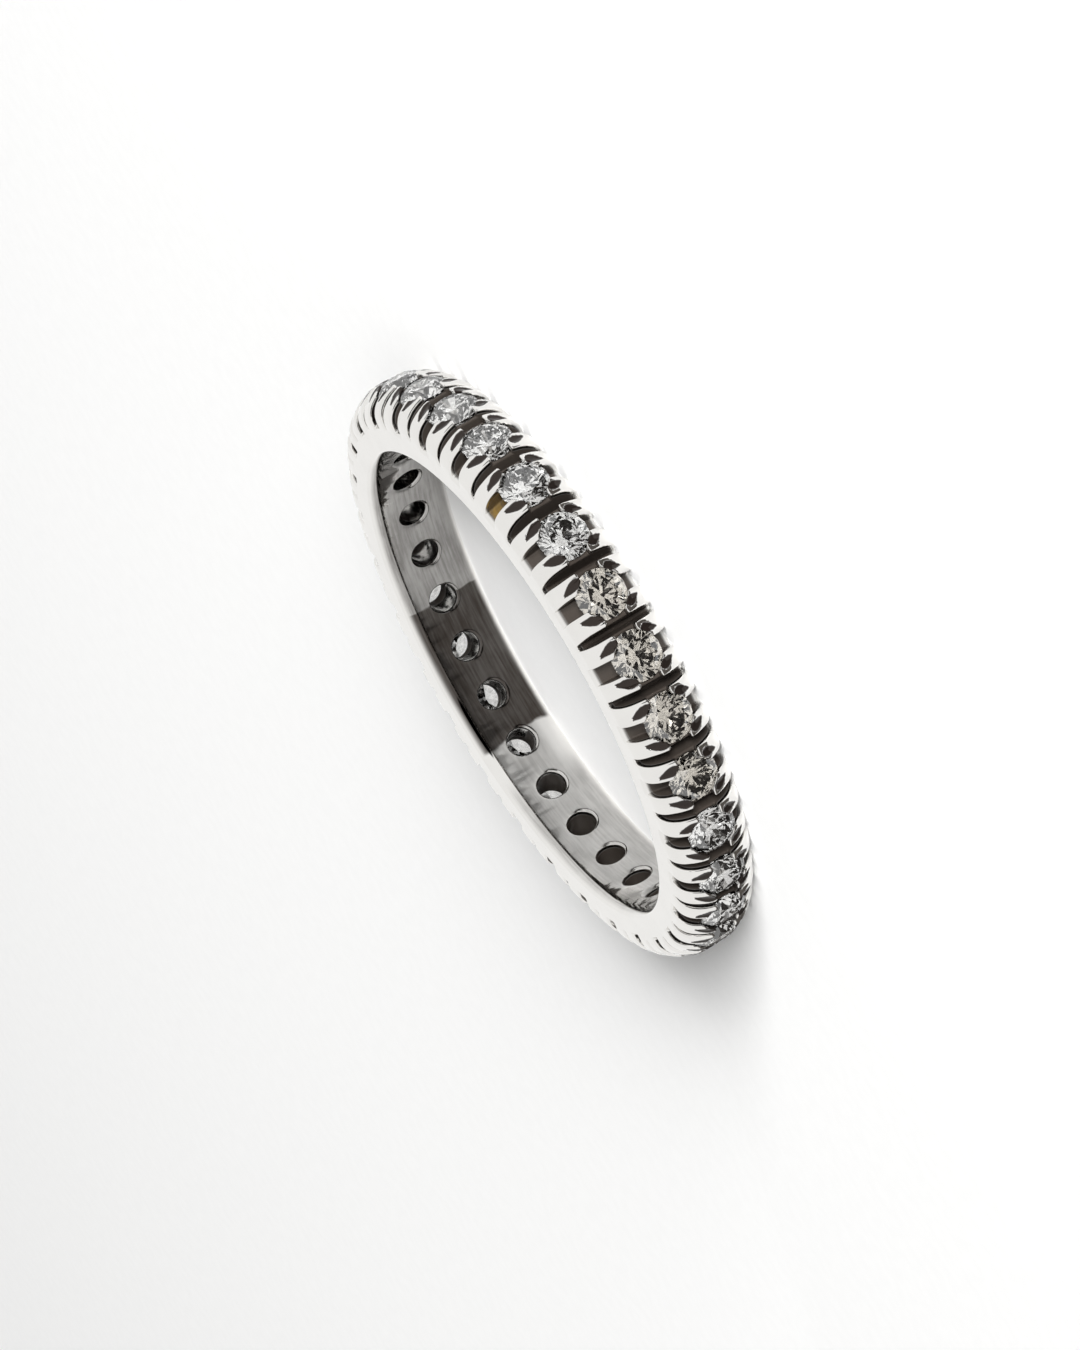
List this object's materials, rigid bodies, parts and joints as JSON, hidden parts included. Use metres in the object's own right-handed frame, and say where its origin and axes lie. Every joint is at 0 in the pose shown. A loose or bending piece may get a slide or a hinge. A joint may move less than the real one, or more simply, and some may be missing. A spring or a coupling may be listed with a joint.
{
  "type": "full eternity ring with round brilliants in four-claw cut-down settings",
  "caption": "Full eternity ring in polished white metal: round brilliants set edge to edge all the way round, each held by four claws left standing between saw cuts and side notches.",
  "frame": {"origin": "on the finger hole's axis, in the plane of the lower side face that the ring lies on", "axes": "+Z along the finger hole's axis, up from the resting side face; +X points outward through the table of stone_01, and the stones are numbered from there, turning from +X to +Y"},
  "size_m": [0.0212, 0.0212, 0.0028],
  "materials": {
    "white_gold": "polished, with fine wear",
    "diamond": "polished facets"
  },
  "bodies": {
    "root": {"band": "white_gold", "stone_01": "diamond", "stone_02": "diamond", "stone_03": "diamond", "stone_04": "diamond", "stone_05": "diamond", "stone_06": "diamond", "stone_07": "diamond", "stone_08": "diamond", "stone_09": "diamond", "stone_10": "diamond", "stone_11": "diamond", "stone_12": "diamond", "stone_13": "diamond", "stone_14": "diamond", "stone_15": "diamond", "stone_16": "diamond", "stone_17": "diamond", "stone_18": "diamond", "stone_19": "diamond", "stone_20": "diamond", "stone_21": "diamond", "stone_22": "diamond", "stone_23": "diamond", "stone_24": "diamond", "stone_25": "diamond", "stone_26": "diamond", "stone_27": "diamond", "stone_28": "diamond", "stone_29": "diamond"}
  },
  "joints": []
}
